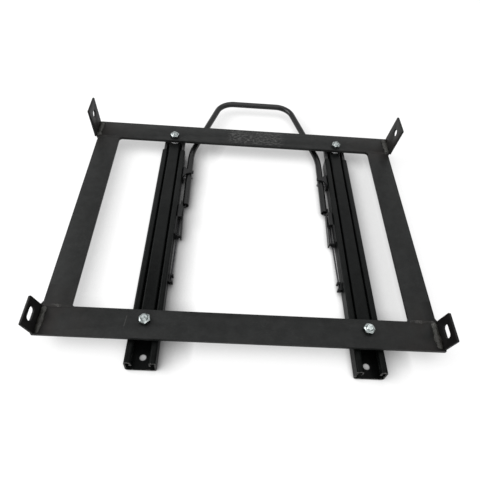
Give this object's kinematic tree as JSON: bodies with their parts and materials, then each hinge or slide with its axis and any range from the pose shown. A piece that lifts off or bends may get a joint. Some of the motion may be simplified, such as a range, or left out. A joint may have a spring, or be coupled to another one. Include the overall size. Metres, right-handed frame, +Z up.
{
  "type": "sliding seat bracket",
  "caption": "Welded flat-bar seat frame with upturned mounting tabs on a pair of ball-bearing seat rails, with a bent tube release bar and toothed latches.",
  "frame": {"origin": "middle of the four seat bolt holes, on the outer face of the rails that the seat bolts to", "axes": "+X across the seat, from the left rail to the right one; +Y along the rails, towards the release bar (the front of the seat in use); +Z up as it lies on its rails, which is down in the vehicle"},
  "size_m": [0.5093, 0.5164, 0.0763],
  "materials": {
    "frame_coat": "satin",
    "rail_coat": "semi-gloss",
    "tube_coat": "semi-gloss",
    "bracket_coat": "satin",
    "latch_coat": "satin",
    "pin_steel": "satin",
    "spring_steel": "satin",
    "ball_steel": "polished",
    "retainer_steel": "satin",
    "bright_zinc": "bright",
    "washer_zinc": "satin",
    "shoe_plastic": "matte"
  },
  "bodies": {
    "frame": {"near_cross_bar": "frame_coat", "far_cross_bar": "frame_coat", "left_side_bar": "frame_coat", "right_side_bar": "frame_coat", "frame_corner_welds": "frame_coat", "near_left_tab": "frame_coat", "near_right_tab": "frame_coat", "far_left_tab": "frame_coat", "far_right_tab": "frame_coat", "tab_welds": "frame_coat", "left_inner_rail": "rail_coat", "right_inner_rail": "rail_coat", "left_glide_shoes": "shoe_plastic", "right_glide_shoes": "shoe_plastic", "frame_bolts": "bright_zinc", "frame_nuts": "bright_zinc", "spacer_washers": "washer_zinc"},
    "carriage": {"left_outer_rail": "rail_coat", "right_outer_rail": "rail_coat", "left_handle_bracket": "bracket_coat", "right_handle_bracket": "bracket_coat", "left_pivot_pin": "pin_steel", "right_pivot_pin": "pin_steel", "left_latch_bracket": "bracket_coat", "right_latch_bracket": "bracket_coat", "left_torsion_rod": "spring_steel", "right_torsion_rod": "spring_steel", "left_rod_anchor": "bracket_coat", "right_rod_anchor": "bracket_coat"},
    "ball_cages": {"left_ball_retainers": "retainer_steel", "right_ball_retainers": "retainer_steel", "left_bearing_balls": "ball_steel", "right_bearing_balls": "ball_steel"},
    "handle": {"release_bar": "tube_coat"},
    "left_latch": {"left_latch_lever": "latch_coat"},
    "right_latch": {"right_latch_lever": "latch_coat"}
  },
  "joints": [
    {"name": "rail_slide", "type": "slide", "parent": "frame", "child": "carriage", "axis": [0, 1, 0], "range_m": [-0.06, 0.12]},
    {"name": "cage_slide", "type": "slide", "parent": "carriage", "child": "ball_cages", "axis": [0, 1, 0], "range_m": [-0.06, 0.03]},
    {"name": "handle_pivot", "type": "hinge", "parent": "carriage", "child": "handle", "pos_m": [0, 0.1309, 0.011], "axis": [-1, 0, 0], "range_deg": [0, 3.71]},
    {"name": "left_latch_pivot", "type": "hinge", "parent": "carriage", "child": "left_latch", "pos_m": [-0.1142, 0.0384, 0.0055], "axis": [0, -1, 0], "range_deg": [0, 26], "stiffness_Nm_per_rad": 0.5, "springref_deg": -28.65},
    {"name": "right_latch_pivot", "type": "hinge", "parent": "carriage", "child": "right_latch", "pos_m": [0.1142, 0.0384, 0.0055], "axis": [0, 1, 0], "range_deg": [0, 26], "stiffness_Nm_per_rad": 0.5, "springref_deg": -28.65}
  ],
  "couplings": [
    {"joint": "left_latch_pivot", "follows": "handle_pivot", "ratio": 7},
    {"joint": "right_latch_pivot", "follows": "handle_pivot", "ratio": 7}
  ]
}
